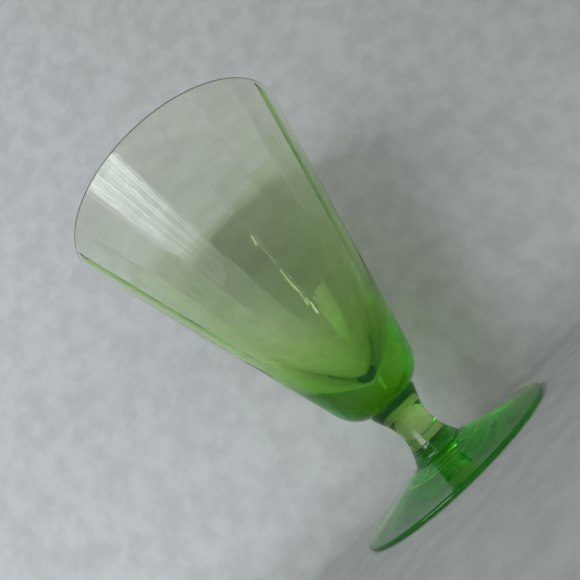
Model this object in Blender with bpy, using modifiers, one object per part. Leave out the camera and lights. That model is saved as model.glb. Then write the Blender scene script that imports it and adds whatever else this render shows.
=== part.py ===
"""Footed glass tumbler: a tall conical bowl on a short hourglass stem and a shallow foot.

Metres, +Z up. The origin is the centre of the face that the foot rests on, and +Z is the axis that
every piece is turned about. The glass is built up from separate gathers: bowl, merese, stem,
merese and foot, each one turned solid, with a hairline gap between neighbours.
"""

import math

import bpy

# Driving dimensions, in metres.
HEIGHT = 0.130
JOINT_GAP = 0.0003

RIM_RADIUS = 0.0449
RIM_THICKNESS = 0.0009
RIM_EDGE_RADIUS = 0.0003
WALL_GAIN = 0.0040  # how much the wall has thickened by the time it reaches the shoulder
WALL_GAIN_POWER = 1.2
SHOULDER_RADIUS = 0.01645
SHOULDER_HEIGHT = 0.0353
BOWL_BASE_RADIUS = 0.0088
BOWL_BASE_HEIGHT = 0.0268
BOWL_FLOOR_HEIGHT = 0.0366
FLOOR_ROUNDING = 0.0060
FLOOR_STEEPNESS = 1.3  # height gained per unit of radius, well away from the floor's middle
FLOOR_BLEND = 0.008  # the longer, the gentler the bend from the floor into the wall

BOWL_MERESE_BOTTOM = 0.0242
BOWL_MERESE_BULGE = 0.0001

WAIST_RADIUS = 0.00572
WAIST_HEIGHT = 0.0163
WAIST_FLARE = 37.5  # radius gained per square metre of height away from the waist

FOOT_MERESE_TOP = 0.0110
FOOT_MERESE_BOTTOM = 0.0069
FOOT_MERESE_RADIUS = 0.0103
FOOT_MERESE_FILLET = 0.0014

HUB_RADIUS = 0.0108
FOOT_RADIUS = 0.0352
BRIM_THICKNESS = 0.0014
FOOT_SWEEP_POWER = 1.54
RESTING_RING_OUTER = 0.0343
RESTING_RING_INNER = 0.0300
PUNT_EDGE_RADIUS = 0.0148
PUNT_EDGE_HEIGHT = 0.0010
PUNT_STEP_RADIUS = 0.0118
PUNT_STEP_HEIGHT = 0.0015
PUNT_HEIGHT = 0.0020

# How finely the turned surfaces are divided.
TURN_STEPS = 64
WELD_DISTANCE = 0.00001
RIM_EDGE_STEPS = 4
BELLY_ARC_STEPS = 8
INSIDE_STEPS = 22
WALL_STEPS = 3
STEM_STEPS = 10
MERESE_STEPS = 4
FOOT_SWEEP_STEPS = 7
BRIM_ARC_STEPS = 6

# Green glass: paler in the stem, deeper in the two mereses where the gathers overlap.
GLASS_IOR = 1.52
GLASS_ROUGHNESS = 0.03
PALE_GREEN = (0.36, 0.62, 0.30, 1.0)
MID_GREEN = (0.20, 0.50, 0.12, 1.0)
DEEP_GREEN = (0.04, 0.28, 0.03, 1.0)


def arc(centre, radius, start, end, steps):
    """Points (r, z) on an arc from the angle start to end, both ends included."""
    points = []
    for i in range(steps + 1):
        angle = start + (end - start) * i / steps
        points.append((centre[0] + radius * math.cos(angle), centre[1] + radius * math.sin(angle)))
    return points


def line(start, end, steps):
    """Points (r, z) strictly between two ends, evenly spaced."""
    return [
        (start[0] + (end[0] - start[0]) * i / steps, start[1] + (end[1] - start[1]) * i / steps)
        for i in range(1, steps)
    ]


def arc_from_tangent(start, direction, end, steps):
    """Points on the arc that leaves start along direction and reaches end, without start itself."""
    chord = (end[0] - start[0], end[1] - start[1])
    turn = math.atan2(chord[1], chord[0]) - math.atan2(direction[1], direction[0])
    radius = math.hypot(*chord) / (2 * math.sin(turn))
    side = (-direction[1], direction[0])
    centre = (start[0] + radius * side[0], start[1] + radius * side[1])
    first = math.atan2(start[1] - centre[1], start[0] - centre[0])
    return arc(centre, abs(radius), first, first + 2 * turn, steps)[1:]


def stem_radius(height):
    """The hourglass that the stem and the lower merese share."""
    return WAIST_RADIUS + WAIST_FLARE * (height - WAIST_HEIGHT) ** 2


def foot_top(radius):
    """Height of the foot's upper face: shallow at the brim and steeper towards the hub."""
    hub_height = FOOT_MERESE_BOTTOM - JOINT_GAP
    share = (FOOT_RADIUS - radius) / (FOOT_RADIUS - HUB_RADIUS)
    return BRIM_THICKNESS + (hub_height - BRIM_THICKNESS) * share**FOOT_SWEEP_POWER


def bowl_profile():
    """From the middle of the bowl's floor, up the inside, over the rim and down the outside."""
    edge = RIM_EDGE_RADIUS
    outer_centre = (RIM_RADIUS - edge, HEIGHT - edge)
    inner_centre = (RIM_RADIUS - RIM_THICKNESS + edge, HEIGHT - edge)
    shoulder = (SHOULDER_RADIUS, SHOULDER_HEIGHT)

    reach = (outer_centre[0] - shoulder[0], outer_centre[1] - shoulder[1])
    slope = math.atan2(reach[1], reach[0]) - math.asin(edge / math.hypot(*reach))
    rim = arc(inner_centre, edge, slope + math.pi / 2, math.pi / 2, RIM_EDGE_STEPS)
    rim += arc(outer_centre, edge, math.pi / 2, slope - math.pi / 2, RIM_EDGE_STEPS)
    rim_radius, rim_height = rim[0]

    def inner_radius(height):
        """The wall thickens downwards, and bends into a floor like a rounded cone."""
        share = (rim_height - height) / (rim_height - SHOULDER_HEIGHT)
        wall = rim_radius - (rim_height - height) / math.tan(slope)
        wall -= WALL_GAIN * share**WALL_GAIN_POWER
        rise = height - BOWL_FLOOR_HEIGHT + FLOOR_ROUNDING
        floor = math.sqrt(rise**2 - FLOOR_ROUNDING**2) / FLOOR_STEEPNESS
        closeness = max(1 - abs(wall - floor) / FLOOR_BLEND, 0.0)
        return min(wall, floor) - FLOOR_BLEND * closeness**2 / 4

    inside = [(0.0, BOWL_FLOOR_HEIGHT)]
    for i in range(1, INSIDE_STEPS):
        height = BOWL_FLOOR_HEIGHT + (rim_height - BOWL_FLOOR_HEIGHT) * (i / INSIDE_STEPS) ** 2
        inside.append((inner_radius(height), height))
    down = (-math.cos(slope), -math.sin(slope))
    belly = arc_from_tangent(shoulder, down, (BOWL_BASE_RADIUS, BOWL_BASE_HEIGHT), BELLY_ARC_STEPS)
    return (
        inside
        + rim
        + line(rim[-1], shoulder, WALL_STEPS)
        + [shoulder]
        + belly
        + [(0.0, BOWL_BASE_HEIGHT)]
    )


def bowl_merese_profile():
    """A thick wafer as wide as the bowl's base, drawn in towards the stem."""
    top = BOWL_BASE_HEIGHT - JOINT_GAP
    bottom = BOWL_MERESE_BOTTOM
    side = []
    for i in range(MERESE_STEPS + 1):
        share = i / MERESE_STEPS
        radius = BOWL_BASE_RADIUS + (stem_radius(bottom) - BOWL_BASE_RADIUS) * share
        radius += BOWL_MERESE_BULGE * math.sin(math.pi * share)
        side.append((radius, top + (bottom - top) * share))
    return [(0.0, top)] + side + [(0.0, bottom)]


def stem_profile():
    """The solid hourglass between the two mereses."""
    top = BOWL_MERESE_BOTTOM - JOINT_GAP
    bottom = FOOT_MERESE_TOP + JOINT_GAP
    side = []
    for i in range(STEM_STEPS + 1):
        height = top + (bottom - top) * i / STEM_STEPS
        side.append((stem_radius(height), height))
    return [(0.0, top)] + side + [(0.0, bottom)]


def foot_merese_profile():
    """The stem's flare carried on downwards, then swept out in a fillet onto the hub."""
    fillet_top = FOOT_MERESE_BOTTOM + FOOT_MERESE_FILLET
    side = []
    for i in range(MERESE_STEPS + 1):
        height = FOOT_MERESE_TOP + (fillet_top - FOOT_MERESE_TOP) * i / MERESE_STEPS
        side.append((stem_radius(height), height))
    reach = FOOT_MERESE_RADIUS - stem_radius(fillet_top)
    for i in range(1, MERESE_STEPS + 1):
        angle = math.pi / 2 * i / MERESE_STEPS
        radius = stem_radius(fillet_top) + reach * (1 - math.cos(angle))
        side.append((radius, fillet_top - FOOT_MERESE_FILLET * math.sin(angle)))
    return [(0.0, FOOT_MERESE_TOP)] + side + [(0.0, FOOT_MERESE_BOTTOM)]


def foot_profile():
    """Flat hub, swept top, round brim, flat resting ring and a shallow punt under the stem."""
    brim_curve = BRIM_THICKNESS / 2
    brim_centre = (FOOT_RADIUS - brim_curve, brim_curve)
    top = []
    for i in range(FOOT_SWEEP_STEPS):
        radius = HUB_RADIUS + (brim_centre[0] - HUB_RADIUS) * i / FOOT_SWEEP_STEPS
        top.append((radius, foot_top(radius)))
    brim = arc(brim_centre, brim_curve, math.pi / 2, -math.pi / 2, BRIM_ARC_STEPS)
    brim[-1] = (RESTING_RING_OUTER, 0.0)
    return (
        [(0.0, top[0][1])]
        + top
        + brim
        + [
            (RESTING_RING_INNER, 0.0),
            (PUNT_EDGE_RADIUS, PUNT_EDGE_HEIGHT),
            (PUNT_STEP_RADIUS, PUNT_STEP_HEIGHT),
            (0.0, PUNT_HEIGHT),
        ]
    )


def green_glass(name, colour):
    """A Principled glass in one of the three depths of green."""
    material = bpy.data.materials.new(name)
    material.use_nodes = True
    shader = material.node_tree.nodes["Principled BSDF"]
    shader.inputs["Base Color"].default_value = colour
    shader.inputs["Metallic"].default_value = 0.0
    shader.inputs["Roughness"].default_value = GLASS_ROUGHNESS
    shader.inputs["IOR"].default_value = GLASS_IOR
    shader.inputs["Transmission Weight"].default_value = 1.0
    return material


def turned(name, profile, colour, collection):
    """A solid of revolution: the profile as a chain of edges, swept by a Screw modifier."""
    mesh = bpy.data.meshes.new(name)
    points = [(radius, 0.0, height) for radius, height in profile]
    edges = [(i, i + 1) for i in range(len(points) - 1)]
    mesh.from_pydata(points, edges, [])
    mesh.materials.append(green_glass(name + "_glass", colour))

    piece = bpy.data.objects.new(name, mesh)
    collection.objects.link(piece)
    screw = piece.modifiers.new("turn", "SCREW")
    screw.axis = "Z"
    screw.angle = 2 * math.pi
    screw.steps = TURN_STEPS
    screw.render_steps = TURN_STEPS
    screw.use_merge_vertices = True
    screw.merge_threshold = WELD_DISTANCE
    screw.use_smooth_shade = True
    return piece


def clear_scene():
    for scene_object in list(bpy.data.objects):
        bpy.data.objects.remove(scene_object, do_unlink=True)


def main():
    clear_scene()
    collection = bpy.data.collections.new("footed_glass_tumbler")
    bpy.context.scene.collection.children.link(collection)
    turned("bowl", bowl_profile(), MID_GREEN, collection)
    turned("bowl_merese", bowl_merese_profile(), DEEP_GREEN, collection)
    turned("stem", stem_profile(), PALE_GREEN, collection)
    turned("foot_merese", foot_merese_profile(), DEEP_GREEN, collection)
    turned("foot", foot_profile(), MID_GREEN, collection)


main()
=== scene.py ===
"""Looks of the footed glass tumbler: five turned pieces of green glass, a pale cove and soft light.

Metres, +Z up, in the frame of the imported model. The glass stands on z = 0. A profile is a list of
points (r, z): the distance from the axis, and the height.
"""

import math

import bmesh
import bpy
from mathutils import Matrix, Vector


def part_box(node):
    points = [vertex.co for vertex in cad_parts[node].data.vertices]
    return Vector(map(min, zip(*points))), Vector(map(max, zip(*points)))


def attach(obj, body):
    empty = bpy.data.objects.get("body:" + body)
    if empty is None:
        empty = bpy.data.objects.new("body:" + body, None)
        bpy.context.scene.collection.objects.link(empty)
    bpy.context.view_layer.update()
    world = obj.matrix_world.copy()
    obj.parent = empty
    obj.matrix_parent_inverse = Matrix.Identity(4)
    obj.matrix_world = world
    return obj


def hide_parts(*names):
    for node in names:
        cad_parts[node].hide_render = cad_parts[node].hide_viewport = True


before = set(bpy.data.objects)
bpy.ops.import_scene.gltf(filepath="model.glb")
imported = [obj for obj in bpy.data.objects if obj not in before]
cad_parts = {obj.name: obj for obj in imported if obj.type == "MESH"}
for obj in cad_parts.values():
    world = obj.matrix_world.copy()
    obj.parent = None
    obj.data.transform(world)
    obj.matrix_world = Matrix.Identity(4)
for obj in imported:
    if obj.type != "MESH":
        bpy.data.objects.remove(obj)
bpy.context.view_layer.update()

# Sizes read from the frame.
BOWL_LOW, BOWL_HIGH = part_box("bowl")
BOWL_MERESE_LOW, BOWL_MERESE_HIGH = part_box("bowl_merese")
STEM_LOW, STEM_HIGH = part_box("stem")
FOOT_MERESE_LOW, FOOT_MERESE_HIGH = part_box("foot_merese")
FOOT_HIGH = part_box("foot")[1]
HEIGHT = BOWL_HIGH.z
RIM_RADIUS = BOWL_HIGH.x
FOOT_MERESE_RADIUS = FOOT_MERESE_HIGH.x
FOOT_RADIUS = FOOT_HIGH.x

# Where one gather ends and the next begins: halfway across the gap between their nodes. Each
# gather runs on past that height by LAP, so that no air shows between them.
BOWL_JOINT = (BOWL_LOW.z + BOWL_MERESE_HIGH.z) / 2
STEM_TOP_JOINT = (BOWL_MERESE_LOW.z + STEM_HIGH.z) / 2
STEM_BOTTOM_JOINT = (STEM_LOW.z + FOOT_MERESE_HIGH.z) / 2
FOOT_JOINT = (FOOT_MERESE_LOW.z + FOOT_HIGH.z) / 2
LAP = 0.00005

# Bowl.
RIM_THICKNESS = 0.0009
RIM_EDGE_RADIUS = 0.0003
WALL_GAIN = 0.0040  # how much the wall has thickened by the time it reaches the shoulder
WALL_GAIN_POWER = 1.2
SHOULDER_RADIUS = 0.01645
SHOULDER_HEIGHT = 0.0353
BOWL_BASE_RADIUS = 0.0088
BOWL_BASE_EDGE = 0.0004
BOWL_FLOOR_HEIGHT = 0.0366
FLOOR_ROUNDING = 0.0060
FLOOR_STEEPNESS = 1.3  # height gained per unit of radius, well away from the floor's middle
FLOOR_BLEND = 0.008  # the longer, the gentler the bend from the floor into the wall

# Flat panels down the inside of the bowl.
PANELS = 20
PANEL_CREASE = math.radians(-81.8)  # where one of the creases between two panels lies
PANEL_DEPTH = 0.72  # 1 is a wall of flat panels, 0 is a round wall
PANEL_START = 0.050
PANEL_RISE = 0.034
PANEL_RIM_FADE = 0.0020

# Stem and mereses.
WAIST_RADIUS = 0.00572
WAIST_HEIGHT = 0.0163
WAIST_FLARE = 37.5  # radius gained per square metre of height away from the waist
BOWL_MERESE_EDGE = 0.00035
FOOT_MERESE_FILLET = 0.0014

# Foot.
HUB_RADIUS = 0.0108
BRIM_THICKNESS = 0.0014
FOOT_SWEEP_POWER = 1.54
RESTING_RING_OUTER = 0.0343
RESTING_RING_INNER = 0.0300
PUNT_EDGE_RADIUS = 0.0148
PUNT_EDGE_HEIGHT = 0.0010
PUNT_STEP_RADIUS = 0.0118
PUNT_STEP_HEIGHT = 0.0015
PUNT_HEIGHT = 0.0020

# How finely the surfaces are divided, round the axis and then along each stretch of a profile.
PANEL_SEGMENTS = 16
STEM_SEGMENTS = 160
FOOT_SEGMENTS = 256
INSIDE_STEPS = 72
UNDER_RIM_STEPS = 8
RIM_EDGE_STEPS = 8
RIM_TOP_STEPS = 4
OUTER_WALL_STEPS = 40
BELLY_STEPS = 28
SMALL_EDGE_STEPS = 5
END_FACE_STEPS = 5
BOWL_MERESE_STEPS = 12
STEM_STEPS = 40
FOOT_MERESE_STEPS = 20
FILLET_STEPS = 10
HUB_STEPS = 8
FOOT_SWEEP_STEPS = 48
BRIM_STEPS = 14
RESTING_RING_STEPS = 4
HOLLOW_STEPS = 24
PUNT_STEP_STEPS = 8
DOME_STEPS = 12
ON_AXIS = 1e-9  # a profile point nearer the axis than this is a single vertex

# Glass: the colour that passes, and how strongly the rest is absorbed, per metre.
GLASS_IOR = 1.52
CLEAR_GREEN = (0.59, 0.872, 0.12, 1.0)
DEEP_GREEN = (0.50, 0.87, 0.0, 1.0)
FOOT_GREEN = (0.53, 0.955, 0.0, 1.0)
TINT = {
    "bowl": (CLEAR_GREEN, 145.0),
    "bowl_merese": (DEEP_GREEN, 800.0),
    "stem": (CLEAR_GREEN, 145.0),
    "foot_merese": (DEEP_GREEN, 460.0),
    "foot": (FOOT_GREEN, 270.0),
}

# Faint vertical lines in the glass, a thin film in patches, and scuffing where the foot rests.
# The scales are in features per metre along each axis.
DRAW_LINE_SCALE = (420.0, 420.0, 10.0)
DRAW_LINE_DETAIL = 2.0
DRAW_LINE_STRENGTH = 0.12
DRAW_LINE_DEPTH = 0.00025
FILM_SCALE = (90.0, 90.0, 60.0)
FILM_DETAIL = 4.0
FILM_THRESHOLD = (0.45, 0.75)
FILM_COLOUR = (0.965, 0.975, 0.95, 1.0)
NO_FILM = (1.0, 1.0, 1.0, 1.0)
SCUFF_SCALE = (900.0, 900.0, 900.0)
SCUFF_DETAIL = 3.0
SCUFF_THRESHOLD = (0.40, 0.60)
SCUFF_HEIGHT = 0.0004
SCUFF_ROUGHNESS = 0.13

# The cove: a floor, a quarter-round sweep and a wall. The floor lies a hair under the resting
# ring, so that the two faces never coincide.
FLOOR_GAP = 0.0002
COVE_WALL_Y = 0.049
COVE_SWEEP = 0.0135
COVE_SWEEP_STEPS = 12
COVE_HALF_WIDTH = 1.5
COVE_FLOOR_YS = (-1.5, -0.5, -0.1, 0.0)
COVE_WALL_HEIGHTS = (0.2, 0.8, 1.6)

# Its paper: the wall's own shade; the floor painted darker, as painted shade; and a painted pool of
# light, palest, where the foot hides it.
PAPER_ROUGHNESS = 0.9
PAPER_SPECULAR = 0.1
WALL_PAPER = (0.612, 0.624, 0.645, 1.0)
# Painted shade: the floor is painted darker than the wall.
FLOOR_PAPER_PAINTED_DARKER = (0.445, 0.455, 0.46, 1.0)
# Painted light: a pale pool painted on the paper under the foot.
PAINTED_LIGHT_UNDER_FOOT = (0.86, 0.88, 0.80, 1.0)
PAINTED_FLOOR_SHADE_HEIGHTS = (0.0, 0.028)
PAINTED_LIGHT_RADII = (0.026, 0.033)
# Painted light and shade: the wall's paper is painted brighter low down and darker higher up.
PAINTED_WALL_LIGHT_FADE = (0.030, 0.140, 1.12, 0.97)  # from height, to height, brightness there, and there
MOTTLE_SCALE = (130.0, 130.0, 130.0)
MOTTLE_DETAIL = 5.0
MOTTLE_RANGE = (0.3, 0.7, 0.93, 1.065)

# Lights. An azimuth is in degrees, 0 on the camera's side and growing towards +X, and a power is
# in watts.
LIGHT_COLOUR = (0.90, 0.945, 1.0)
LIGHT_TARGET = (0.0, 0.0, 0.08)
WINDOW = {"azimuth": -40, "height": 0.17, "distance": 0.42, "size": (0.28, 0.36), "power": 1.26}
STRIP = {"azimuth": -14, "height": 0.48, "distance": 0.40, "size": (0.026, 0.23), "power": 0.165}

# The curtain over the window has soft folds, and is dim at one side and along the bottom.
FOLD_SCALE = (26.0, 1.5, 1.0)
FOLD_DETAIL = 2.0
FOLD_RANGE = (0.30, 0.70, 0.35, 1.65)
CURTAIN_SIDE_RAMP = (0.0, 0.35, 0.35, 1.05)
CURTAIN_FOOT_RAMP = (0.10, 0.36, 0.30, 1.0)

# Soft light from all round. The sine of the elevation where it starts to dim, and where it is
# dimmest, then its strength there and there.
WORLD_COLOUR = (0.78, 0.79, 0.70, 1.0)
WORLD_FADE = (0.40, 0.68, 0.60, 0.27)

# Camera: distances in heights of the glass, angles in radians, lens and sensor in millimetres.
CAMERA_DISTANCE = 1.4133
CAMERA_HEIGHT = 0.2128
CAMERA_PITCH = 0.2548
CAMERA_YAW = 0.0061
CAMERA_ROLL = 0.01748 - math.radians(45)
CAMERA_LENS = 35.04
CAMERA_SENSOR = 36.0
CAMERA_CLIP = (0.002, 10.0)

# Light crosses and mirrors off many faces inside thick glass before it leaves.
LIGHT_BOUNCES = 48


# ---------------------------------------------------------------- profiles


def arc(centre, radius, start, end, steps):
    """Points (r, z) on an arc, both ends included."""
    points = []
    for i in range(steps + 1):
        angle = start + (end - start) * i / steps
        points.append((centre[0] + radius * math.cos(angle), centre[1] + radius * math.sin(angle)))
    return points


def line(start, end, steps):
    """Points (r, z) strictly between two ends, evenly spaced."""
    return [
        (start[0] + (end[0] - start[0]) * i / steps, start[1] + (end[1] - start[1]) * i / steps)
        for i in range(1, steps)
    ]


def arc_from_tangent(start, direction, end, steps):
    """Points on the arc that leaves start along direction and reaches end, without start itself."""
    chord = (end[0] - start[0], end[1] - start[1])
    turn = math.atan2(chord[1], chord[0]) - math.atan2(direction[1], direction[0])
    radius = math.hypot(*chord) / (2 * math.sin(turn))
    centre = (start[0] - radius * direction[1], start[1] + radius * direction[0])
    first = math.atan2(start[1] - centre[1], start[0] - centre[0])
    return arc(centre, abs(radius), first, first + 2 * turn, steps)[1:]


def capped(top, side, bottom):
    """A side with end faces that run from its two ends to the axis, at heights top and bottom."""
    upper = [(0.0, top)] + line((0.0, top), side[0], END_FACE_STEPS)
    lower = line(side[-1], (0.0, bottom), END_FACE_STEPS) + [(0.0, bottom)]
    return upper + side + lower


def smooth(share):
    """An S-shaped curve from 0 to 1. A share below 0 or above 1 counts as 0 or 1."""
    share = min(max(share, 0.0), 1.0)
    return share * share * (3 - 2 * share)


def half_wave(share):
    """Half a cosine wave, from 0 to 1."""
    return (1 - math.cos(math.pi * share)) / 2


def stem_radius(height):
    """The hourglass that the stem and the lower merese share."""
    return WAIST_RADIUS + WAIST_FLARE * (height - WAIST_HEIGHT) ** 2


def foot_top(radius):
    """Height of the foot's upper face: shallow at the brim and steeper towards the hub."""
    share = (FOOT_RADIUS - radius) / (FOOT_RADIUS - HUB_RADIUS)
    return BRIM_THICKNESS + (FOOT_HIGH.z - BRIM_THICKNESS) * share**FOOT_SWEEP_POWER


def bowl_profile():
    """Inside from the middle of the floor to the rim, and outside from the rim to the base."""
    rim_edge = RIM_EDGE_RADIUS
    outer_centre = (RIM_RADIUS - rim_edge, HEIGHT - rim_edge)
    inner_centre = (RIM_RADIUS - RIM_THICKNESS + rim_edge, HEIGHT - rim_edge)
    shoulder = (SHOULDER_RADIUS, SHOULDER_HEIGHT)

    reach = (outer_centre[0] - shoulder[0], outer_centre[1] - shoulder[1])
    slope = math.atan2(reach[1], reach[0]) - math.asin(rim_edge / math.hypot(*reach))
    inner_edge = arc(inner_centre, rim_edge, slope + math.pi / 2, math.pi / 2, RIM_EDGE_STEPS)
    outer_edge = arc(outer_centre, rim_edge, math.pi / 2, slope - math.pi / 2, RIM_EDGE_STEPS)
    rim_radius, rim_height = inner_edge[0]

    def inner_radius(height):
        """The wall thickens downwards, and bends into a floor like a rounded cone."""
        share = (rim_height - height) / (rim_height - SHOULDER_HEIGHT)
        wall = rim_radius - (rim_height - height) / math.tan(slope)
        wall -= WALL_GAIN * share**WALL_GAIN_POWER
        rise = height - BOWL_FLOOR_HEIGHT + FLOOR_ROUNDING
        floor = math.sqrt(rise**2 - FLOOR_ROUNDING**2) / FLOOR_STEEPNESS
        closeness = max(1 - abs(wall - floor) / FLOOR_BLEND, 0.0)
        return min(wall, floor) - FLOOR_BLEND * closeness**2 / 4

    inside = [(0.0, BOWL_FLOOR_HEIGHT)]
    for i in range(1, INSIDE_STEPS):
        height = BOWL_FLOOR_HEIGHT + (rim_height - BOWL_FLOOR_HEIGHT) * (i / INSIDE_STEPS) ** 2
        inside.append((inner_radius(height), height))
    inside += line(inside[-1], inner_edge[0], UNDER_RIM_STEPS)

    down = (-math.cos(slope), -math.sin(slope))
    bottom = BOWL_JOINT - LAP
    belly_end = (BOWL_BASE_RADIUS, bottom + BOWL_BASE_EDGE)
    belly = arc_from_tangent(shoulder, down, belly_end, BELLY_STEPS)
    base_centre = (BOWL_BASE_RADIUS - BOWL_BASE_EDGE, belly_end[1])
    base_edge = arc(base_centre, BOWL_BASE_EDGE, 0.0, -math.pi / 2, SMALL_EDGE_STEPS)[1:]
    outside = (
        line(inner_edge[-1], outer_edge[0], RIM_TOP_STEPS)
        + outer_edge
        + line(outer_edge[-1], shoulder, OUTER_WALL_STEPS)
        + [shoulder]
        + belly
        + base_edge
        + line(base_edge[-1], (0.0, bottom), END_FACE_STEPS)
        + [(0.0, bottom)]
    )
    return inside + inner_edge, outside


def bowl_merese_profile():
    """A collar as wide as the bowl's base, drawn in towards the stem."""
    top = BOWL_JOINT + LAP
    bottom = STEM_TOP_JOINT - LAP
    edge_centre = (BOWL_BASE_RADIUS - BOWL_MERESE_EDGE, top - BOWL_MERESE_EDGE)
    edge = arc(edge_centre, BOWL_MERESE_EDGE, math.pi / 2, 0.0, SMALL_EDGE_STEPS)
    taper = line(edge[-1], (stem_radius(bottom), bottom), BOWL_MERESE_STEPS)
    return capped(top, edge + taper + [(stem_radius(bottom) - LAP, bottom)], bottom)


def stem_profile():
    """The solid hourglass between the two mereses, drawn in by LAP at both ends."""
    top = STEM_TOP_JOINT + LAP
    bottom = STEM_BOTTOM_JOINT - LAP
    side = []
    for i in range(STEM_STEPS + 1):
        height = top + (bottom - top) * i / STEM_STEPS
        side.append((stem_radius(height), height))
    side[0] = (side[0][0] - LAP, top)
    side[-1] = (side[-1][0] - LAP, bottom)
    return capped(top, side, bottom)


def foot_merese_profile():
    """The stem's flare carried on downwards, then swept out in a fillet onto the hub."""
    top = STEM_BOTTOM_JOINT + LAP
    bottom = FOOT_JOINT - LAP
    fillet_top = bottom + FOOT_MERESE_FILLET
    side = []
    for i in range(FOOT_MERESE_STEPS + 1):
        height = top + (fillet_top - top) * i / FOOT_MERESE_STEPS
        side.append((stem_radius(height), height))
    side[0] = (side[0][0] - LAP, top)
    reach = FOOT_MERESE_RADIUS - stem_radius(fillet_top)
    for i in range(1, FILLET_STEPS + 1):
        angle = math.pi / 2 * i / FILLET_STEPS
        radius = stem_radius(fillet_top) + reach * (1 - math.cos(angle))
        side.append((radius, fillet_top - FOOT_MERESE_FILLET * math.sin(angle)))
    return capped(top, side, bottom)


def foot_underside():
    """From the resting ring's outer edge inwards: the ring, a hollow, a step and a low dome."""
    under = line((RESTING_RING_OUTER, 0.0), (RESTING_RING_INNER, 0.0), RESTING_RING_STEPS)
    under.append((RESTING_RING_INNER, 0.0))
    for i in range(1, HOLLOW_STEPS + 1):
        share = i / HOLLOW_STEPS
        radius = RESTING_RING_INNER + (PUNT_EDGE_RADIUS - RESTING_RING_INNER) * share
        under.append((radius, PUNT_EDGE_HEIGHT * half_wave(share)))
    for i in range(1, PUNT_STEP_STEPS + 1):
        share = i / PUNT_STEP_STEPS
        radius = PUNT_EDGE_RADIUS + (PUNT_STEP_RADIUS - PUNT_EDGE_RADIUS) * share
        rise = (PUNT_STEP_HEIGHT - PUNT_EDGE_HEIGHT) * half_wave(share)
        under.append((radius, PUNT_EDGE_HEIGHT + rise))
    for i in range(1, DOME_STEPS):
        radius = PUNT_STEP_RADIUS * (1 - i / DOME_STEPS)
        rise = (PUNT_HEIGHT - PUNT_STEP_HEIGHT) * (1 - (radius / PUNT_STEP_RADIUS) ** 2)
        under.append((radius, PUNT_STEP_HEIGHT + rise))
    return under + [(0.0, PUNT_HEIGHT)]


def foot_profile():
    """Hub, swept top, round brim and the underside."""
    hub_top = (0.0, FOOT_JOINT + LAP)
    brim_curve = BRIM_THICKNESS / 2
    brim_centre = (FOOT_RADIUS - brim_curve, brim_curve)
    top = []
    for i in range(FOOT_SWEEP_STEPS):
        radius = HUB_RADIUS + (brim_centre[0] - HUB_RADIUS) * i / FOOT_SWEEP_STEPS
        top.append((radius, foot_top(radius)))
    brim = arc(brim_centre, brim_curve, math.pi / 2, -math.pi / 2, BRIM_STEPS)
    return [hub_top] + line(hub_top, top[0], HUB_STEPS) + top + brim + foot_underside()


# ---------------------------------------------------------------- meshes


def panel_share(height):
    """How flat the panels are: none on the floor, full from the lower wall up, none at the rim."""
    from_floor = smooth((height - PANEL_START) / PANEL_RISE)
    from_rim = smooth((HEIGHT - RIM_EDGE_RADIUS - height) / PANEL_RIM_FADE)
    return from_floor * from_rim


def panel_radius(radius, angle, share):
    """Distance from the axis to a panelled wall that keeps the given radius on average."""
    half = math.pi / PANELS
    from_middle = (angle - PANEL_CREASE) % (2 * half) - half
    flat = (1 - half**2 / 6) / math.cos(from_middle)
    return radius * (1 - PANEL_DEPTH * share * (1 - flat))


def turned(name, profile, segments, radius_at=None, start=0.0):
    """A closed mesh turned about Z from a profile that starts and ends on the axis.

    radius_at(index, radius, height, angle) gives the radius where the shape isn't round.
    """
    mesh = bpy.data.meshes.new(name)
    built = bmesh.new()
    rings = []
    for index, (radius, height) in enumerate(profile):
        if radius < ON_AXIS:
            rings.append([built.verts.new((0.0, 0.0, height))])
            continue
        ring = []
        for i in range(segments):
            angle = start + 2 * math.pi * i / segments
            r = radius if radius_at is None else radius_at(index, radius, height, angle)
            ring.append(built.verts.new((r * math.cos(angle), r * math.sin(angle), height)))
        rings.append(ring)
    for upper, lower in zip(rings, rings[1:]):
        for i in range(segments):
            j = (i + 1) % segments
            corners = [upper[i % len(upper)], lower[i % len(lower)]]
            corners += [lower[j % len(lower)], upper[j % len(upper)]]
            built.faces.new(list(dict.fromkeys(corners)))
    bmesh.ops.recalc_face_normals(built, faces=built.faces)
    built.to_mesh(mesh)
    built.free()
    mesh.shade_smooth()
    piece = bpy.data.objects.new(name, mesh)
    bpy.context.scene.collection.objects.link(piece)
    return piece


def make_bowl():
    """The only piece that isn't round: its inner face has panels."""
    inside, outside = bowl_profile()

    def radius_at(index, radius, height, angle):
        if index >= len(inside):
            return radius
        return panel_radius(radius, angle, panel_share(height))

    segments = PANELS * PANEL_SEGMENTS
    return turned("glass_bowl", inside + outside, segments, radius_at, PANEL_CREASE)


def make_bowl_merese():
    return turned("glass_bowl_merese", bowl_merese_profile(), STEM_SEGMENTS)


def make_stem():
    return turned("glass_stem", stem_profile(), STEM_SEGMENTS)


def make_foot_merese():
    return turned("glass_foot_merese", foot_merese_profile(), STEM_SEGMENTS)


def make_foot():
    return turned("glass_foot", foot_profile(), FOOT_SEGMENTS)


# ---------------------------------------------------------------- materials


def noise(nodes, links, source, scale, detail):
    """Noise with its own scale along each axis."""
    stretch = nodes.new("ShaderNodeMapping")
    stretch.inputs["Scale"].default_value = scale
    links.new(source, stretch.inputs["Vector"])
    texture = nodes.new("ShaderNodeTexNoise")
    texture.inputs["Scale"].default_value = 1.0
    texture.inputs["Detail"].default_value = detail
    links.new(stretch.outputs["Vector"], texture.inputs["Vector"])
    return texture.outputs["Fac"]


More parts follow.
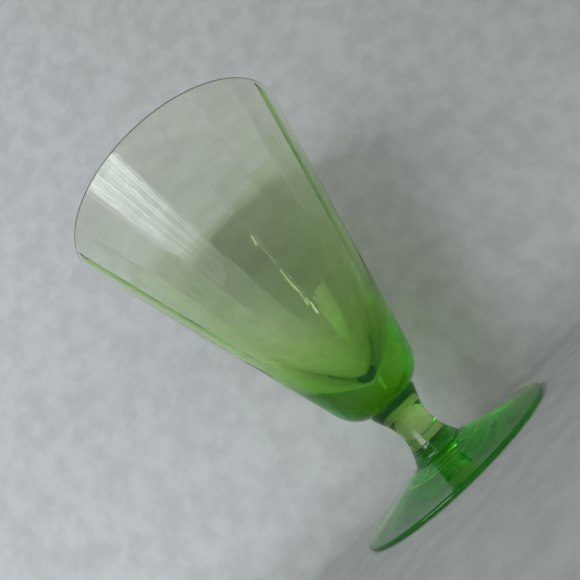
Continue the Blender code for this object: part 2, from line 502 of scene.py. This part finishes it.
def remap(nodes, links, source, low, high, to_low, to_high):
    """A smooth step from to_low to to_high while source goes from low to high."""
    span = nodes.new("ShaderNodeMapRange")
    span.interpolation_type = "SMOOTHSTEP"
    span.inputs["From Min"].default_value = low
    span.inputs["From Max"].default_value = high
    span.inputs["To Min"].default_value = to_low
    span.inputs["To Max"].default_value = to_high
    links.new(source, span.inputs["Value"])
    return span.outputs["Result"]


def product(nodes, links, first, second):
    """Two numbers multiplied."""
    times = nodes.new("ShaderNodeMath")
    times.operation = "MULTIPLY"
    links.new(first, times.inputs[0])
    links.new(second, times.inputs[1])
    return times.outputs["Value"]


def colour_mix(nodes, links, factor, first, second):
    """From one colour to another. Each is a plain colour or another node's output."""
    mix = nodes.new("ShaderNodeMix")
    mix.data_type = "RGBA"
    for socket, colour in (("A", first), ("B", second)):
        if isinstance(colour, tuple):
            mix.inputs[socket].default_value = colour
        else:
            links.new(colour, mix.inputs[socket])
    links.new(factor, mix.inputs["Factor"])
    return mix.outputs["Result"]


def part_of(nodes, links, vector):
    """The separate X, Y and Z of a vector."""
    split = nodes.new("ShaderNodeSeparateXYZ")
    links.new(vector, split.inputs[0])
    return split.outputs


def new_material(name):
    """A material with its node tree's nodes and links."""
    material = bpy.data.materials.new(name)
    material.use_nodes = True
    return material, material.node_tree.nodes, material.node_tree.links


def green_glass(name, colour, density):
    """Clear green glass with faint draw lines down its walls, a film here and there, and scuffing."""
    material, nodes, links = new_material(name)
    shader = nodes["Principled BSDF"]
    shader.inputs["IOR"].default_value = GLASS_IOR
    shader.inputs["Transmission Weight"].default_value = 1.0
    place = nodes.new("ShaderNodeTexCoord").outputs["Object"]

    bump = nodes.new("ShaderNodeBump")
    bump.inputs["Strength"].default_value = DRAW_LINE_STRENGTH
    bump.inputs["Distance"].default_value = DRAW_LINE_DEPTH
    draw_lines = noise(nodes, links, place, DRAW_LINE_SCALE, DRAW_LINE_DETAIL)
    links.new(draw_lines, bump.inputs["Height"])
    links.new(bump.outputs["Normal"], shader.inputs["Normal"])

    patches = noise(nodes, links, place, FILM_SCALE, FILM_DETAIL)
    covered = remap(nodes, links, patches, *FILM_THRESHOLD, 0.0, 1.0)
    film = colour_mix(nodes, links, covered, NO_FILM, FILM_COLOUR)
    links.new(film, shader.inputs["Base Color"])

    scuffs = noise(nodes, links, place, SCUFF_SCALE, SCUFF_DETAIL)
    scratched = remap(nodes, links, scuffs, *SCUFF_THRESHOLD, 0.0, 1.0)
    height = part_of(nodes, links, place)["Z"]
    resting = remap(nodes, links, height, 0.0, SCUFF_HEIGHT, SCUFF_ROUGHNESS, 0.0)
    links.new(product(nodes, links, scratched, resting), shader.inputs["Roughness"])

    absorption = nodes.new("ShaderNodeVolumeAbsorption")
    absorption.inputs["Color"].default_value = colour
    absorption.inputs["Density"].default_value = density
    links.new(absorption.outputs[0], nodes["Material Output"].inputs["Volume"])
    return material


def pale_paper(name):
    """Mottled matt paper with painted shade on the floor, a painted pool of light under the foot and
    painted light low on the wall. It shows on its front only, so that nothing hides the glass from
    behind.
    """
    material, nodes, links = new_material(name)
    shader = nodes["Principled BSDF"]
    shader.inputs["Roughness"].default_value = PAPER_ROUGHNESS
    shader.inputs["Specular IOR Level"].default_value = PAPER_SPECULAR
    geometry = nodes.new("ShaderNodeNewGeometry")
    position = geometry.outputs["Position"]
    height = part_of(nodes, links, position)["Z"]

    # Painted shade: the floor is painted darker, blending into the wall's paper up the sweep.
    up_the_sweep = remap(nodes, links, height, *PAINTED_FLOOR_SHADE_HEIGHTS, 0.0, 1.0)
    plain = colour_mix(nodes, links, up_the_sweep, FLOOR_PAPER_PAINTED_DARKER, WALL_PAPER)
    # Painted light: the paper under the foot is painted palest, fading out before the foot's edge.
    flat = nodes.new("ShaderNodeVectorMath")
    flat.operation = "MULTIPLY"
    flat.inputs[1].default_value = (1.0, 1.0, 0.0)
    links.new(position, flat.inputs[0])
    from_axis = nodes.new("ShaderNodeVectorMath")
    from_axis.operation = "LENGTH"
    links.new(flat.outputs["Vector"], from_axis.inputs[0])
    beyond_painted_light = remap(nodes, links, from_axis.outputs["Value"], *PAINTED_LIGHT_RADII, 0.0, 1.0)
    paper = colour_mix(nodes, links, beyond_painted_light, PAINTED_LIGHT_UNDER_FOOT, plain)

    fibres = noise(nodes, links, position, MOTTLE_SCALE, MOTTLE_DETAIL)
    mottle = remap(nodes, links, fibres, *MOTTLE_RANGE)
    # Painted light and shade: brighter low on the wall, darker higher up.
    painted_light_fade = remap(nodes, links, height, *PAINTED_WALL_LIGHT_FADE)
    shaded = nodes.new("ShaderNodeVectorMath")
    shaded.operation = "SCALE"
    links.new(paper, shaded.inputs[0])
    links.new(product(nodes, links, mottle, painted_light_fade), shaded.inputs["Scale"])
    links.new(shaded.outputs["Vector"], shader.inputs["Base Color"])

    clear = nodes.new("ShaderNodeBsdfTransparent")
    sides = nodes.new("ShaderNodeMixShader")
    links.new(geometry.outputs["Backfacing"], sides.inputs[0])
    links.new(shader.outputs[0], sides.inputs[1])
    links.new(clear.outputs[0], sides.inputs[2])
    links.new(sides.outputs[0], nodes["Material Output"].inputs["Surface"])
    return material


# ---------------------------------------------------------------- stage, light and camera


def make_cove(name):
    """A pale floor that sweeps up into a wall just behind the glass."""
    floor_height = -FLOOR_GAP
    sweep_start = COVE_WALL_Y - COVE_SWEEP
    path = [(y, floor_height) for y in COVE_FLOOR_YS + (sweep_start,)]
    for i in range(1, COVE_SWEEP_STEPS + 1):
        angle = math.pi / 2 * i / COVE_SWEEP_STEPS
        rise = COVE_SWEEP - COVE_SWEEP * math.cos(angle)
        path.append((sweep_start + COVE_SWEEP * math.sin(angle), floor_height + rise))
    path += [(COVE_WALL_Y, height) for height in COVE_WALL_HEIGHTS]

    built = bmesh.new()
    left = [built.verts.new((-COVE_HALF_WIDTH, y, z)) for y, z in path]
    right = [built.verts.new((COVE_HALF_WIDTH, y, z)) for y, z in path]
    for i in range(len(path) - 1):
        built.faces.new((left[i], right[i], right[i + 1], left[i + 1]))
    mesh = bpy.data.meshes.new(name)
    built.to_mesh(mesh)
    built.free()
    mesh.shade_smooth()
    mesh.materials.append(pale_paper("pale_paper"))
    cove = bpy.data.objects.new(name, mesh)
    bpy.context.scene.collection.objects.link(cove)
    return cove


def softbox(name, azimuth, height, distance, size, power):
    """A rectangular light that faces the bowl. The camera doesn't see it directly."""
    light = bpy.data.lights.new(name, "AREA")
    light.shape = "RECTANGLE"
    light.size, light.size_y = size
    light.energy = power
    light.color = LIGHT_COLOUR
    lamp = bpy.data.objects.new(name, light)
    turn = math.radians(azimuth)
    lamp.location = (distance * math.sin(turn), -distance * math.cos(turn), height)
    aim = Vector(LIGHT_TARGET) - lamp.location
    lamp.rotation_mode = "QUATERNION"
    lamp.rotation_quaternion = aim.to_track_quat("-Z", "Y")
    lamp.visible_camera = False
    bpy.context.scene.collection.objects.link(lamp)
    return light


def hang_curtain(light):
    """Break the light up into soft vertical folds, dimmer at one side and along the bottom."""
    light.use_nodes = True
    nodes = light.node_tree.nodes
    links = light.node_tree.links
    across = nodes.new("ShaderNodeNewGeometry").outputs["Parametric"]
    place = part_of(nodes, links, across)
    waves = noise(nodes, links, across, FOLD_SCALE, FOLD_DETAIL)
    folds = remap(nodes, links, waves, *FOLD_RANGE)
    side = remap(nodes, links, place["X"], *CURTAIN_SIDE_RAMP)
    foot = remap(nodes, links, place["Y"], *CURTAIN_FOOT_RAMP)
    shade = product(nodes, links, side, foot)
    links.new(product(nodes, links, folds, shade), nodes["Emission"].inputs["Strength"])


def light_world():
    """Soft light from all round, weaker from high up."""
    world = bpy.data.worlds.new("studio")
    world.use_nodes = True
    nodes = world.node_tree.nodes
    links = world.node_tree.links
    direction = nodes.new("ShaderNodeTexCoord").outputs["Generated"]
    upwards = part_of(nodes, links, direction)["Z"]
    background = nodes["Background"]
    background.inputs["Color"].default_value = WORLD_COLOUR
    links.new(remap(nodes, links, upwards, *WORLD_FADE), background.inputs["Strength"])
    bpy.context.scene.world = world


def place_camera():
    """A little above the bowl's base and close in, looking up at the bowl, rolled by 45 degrees."""
    data = bpy.data.cameras.new("camera")
    data.sensor_width = CAMERA_SENSOR
    data.lens = CAMERA_LENS
    data.clip_start, data.clip_end = CAMERA_CLIP
    forward = Vector(
        (
            math.sin(CAMERA_YAW) * math.cos(CAMERA_PITCH),
            math.cos(CAMERA_YAW) * math.cos(CAMERA_PITCH),
            math.sin(CAMERA_PITCH),
        )
    )
    right = forward.cross(Vector((0, 0, 1))).normalized()
    up = right.cross(forward)
    image_x = math.cos(CAMERA_ROLL) * right + math.sin(CAMERA_ROLL) * up
    image_y = -math.sin(CAMERA_ROLL) * right + math.cos(CAMERA_ROLL) * up
    turn = Matrix((image_x, image_y, -forward)).transposed().to_4x4()
    place = (0.0, -CAMERA_DISTANCE * HEIGHT, CAMERA_HEIGHT * HEIGHT)
    eye = bpy.data.objects.new("camera", data)
    eye.matrix_world = Matrix.Translation(place) @ turn
    bpy.context.scene.collection.objects.link(eye)
    bpy.context.scene.camera = eye


def set_up_shading():
    """Plain colours, and enough bounces for light inside the glass."""
    scene = bpy.context.scene
    scene.view_settings.view_transform = "Standard"
    scene.cycles.use_denoising = True
    scene.cycles.max_bounces = LIGHT_BOUNCES
    scene.cycles.glossy_bounces = LIGHT_BOUNCES
    scene.cycles.transmission_bounces = LIGHT_BOUNCES


# ---------------------------------------------------------------- assembly


PIECES = (
    (make_bowl, "bowl"),
    (make_bowl_merese, "bowl_merese"),
    (make_stem, "stem"),
    (make_foot_merese, "foot_merese"),
    (make_foot, "foot"),
)
for make, node in PIECES:
    piece = make()
    piece.data.materials.append(green_glass(node + "_green", *TINT[node]))
    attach(piece, "root")
    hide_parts(node)

make_cove("pale_cove")
hang_curtain(softbox("window", **WINDOW))
softbox("strip", **STRIP)
light_world()
place_camera()
set_up_shading()
